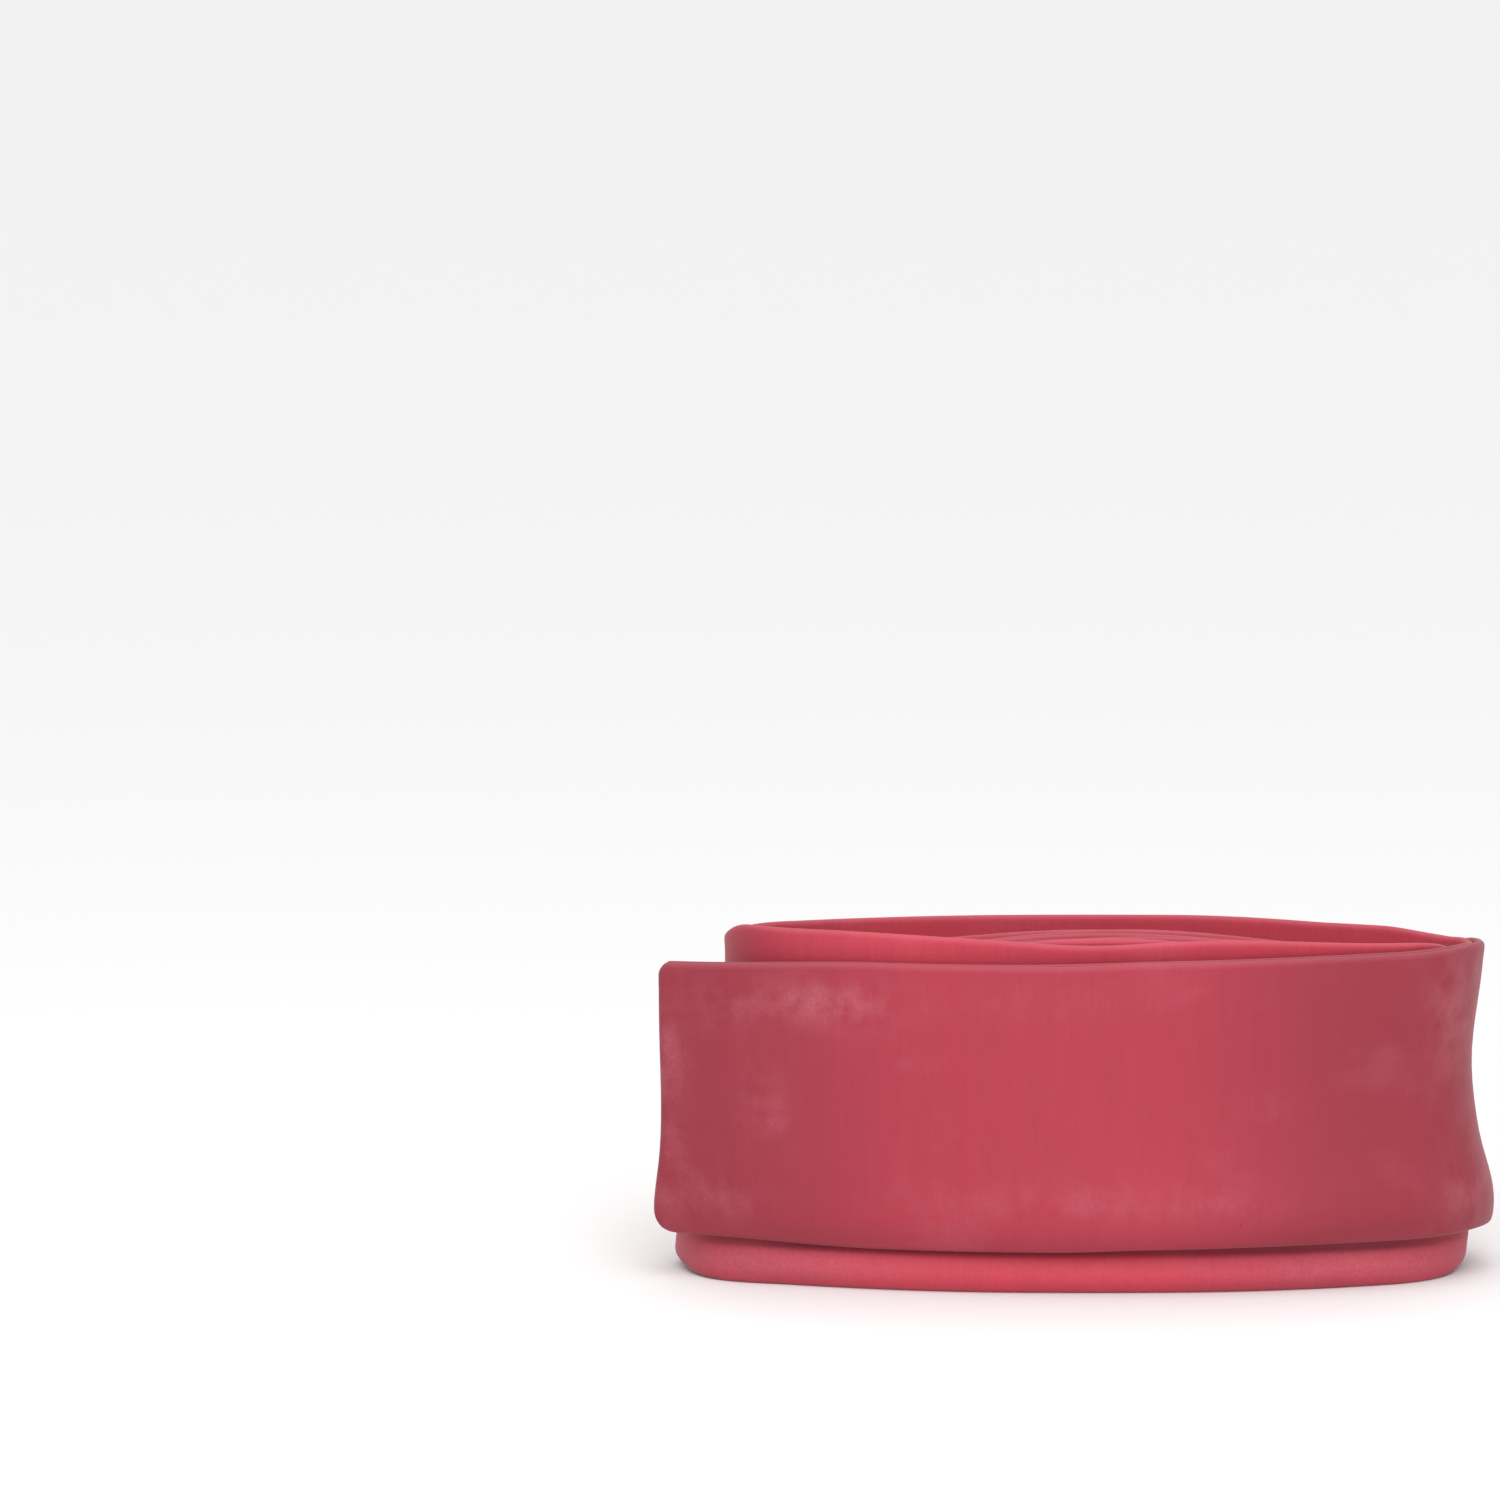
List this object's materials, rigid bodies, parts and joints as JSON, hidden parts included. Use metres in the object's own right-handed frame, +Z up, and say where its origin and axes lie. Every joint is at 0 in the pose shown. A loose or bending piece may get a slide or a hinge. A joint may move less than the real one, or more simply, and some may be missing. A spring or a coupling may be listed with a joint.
{
  "type": "bicycle inner tube",
  "caption": "Deflated latex inner tube folded in half and rolled into an oval coil standing on edge, with a slim removable-core valve held in its inner fold.",
  "frame": {"origin": "under the middle of the roll's bounding box, on the surface that it stands on", "axes": "+Z up across the width of the flat tube, X along the roll, the valve points along +X, the loose end is on the front (-Y) at the left (-X)"},
  "size_m": [0.1004, 0.037, 0.0414],
  "materials": {
    "latex": "matte",
    "latex_patch": "matte",
    "moulded_rubber": "matte",
    "nickel": "satin",
    "core_nickel": "satin",
    "brass": "satin",
    "gasket": "matte",
    "seal_rubber": "matte",
    "cap_plastic": "satin"
  },
  "bodies": {
    "tube": {"latex_tube": "latex", "valve_patch": "latex_patch", "valve_base": "moulded_rubber", "valve_stem": "nickel"},
    "core": {"core_body": "core_nickel", "core_gasket": "gasket"},
    "plunger": {"plunger_pin": "brass", "plunger_seal": "seal_rubber", "seal_cup": "brass"},
    "nut": {"lock_nut": "brass"},
    "cap": {"dust_cap": "cap_plastic"}
  },
  "joints": [
    {"name": "core_unscrew", "type": "slide", "parent": "tube", "child": "core", "axis": [1, 0, 0], "range_m": [0, 0.0046]},
    {"name": "cap_unscrew", "type": "slide", "parent": "core", "child": "cap", "axis": [1, 0, 0], "range_m": [0, 0.012]},
    {"name": "nut_turn", "type": "hinge", "parent": "core", "child": "nut", "pos_m": [0.01404, 0.0014, 0.0234], "axis": [1, 0, 0], "range_deg": [0, 1800]},
    {"name": "plunger_travel", "type": "slide", "parent": "core", "child": "plunger", "axis": [1, 0, 0], "range_m": [-0.002, 0]}
  ],
  "couplings": [
    {"joint": "nut_turn", "follows": "plunger_travel", "rad_per_m": -15708}
  ]
}
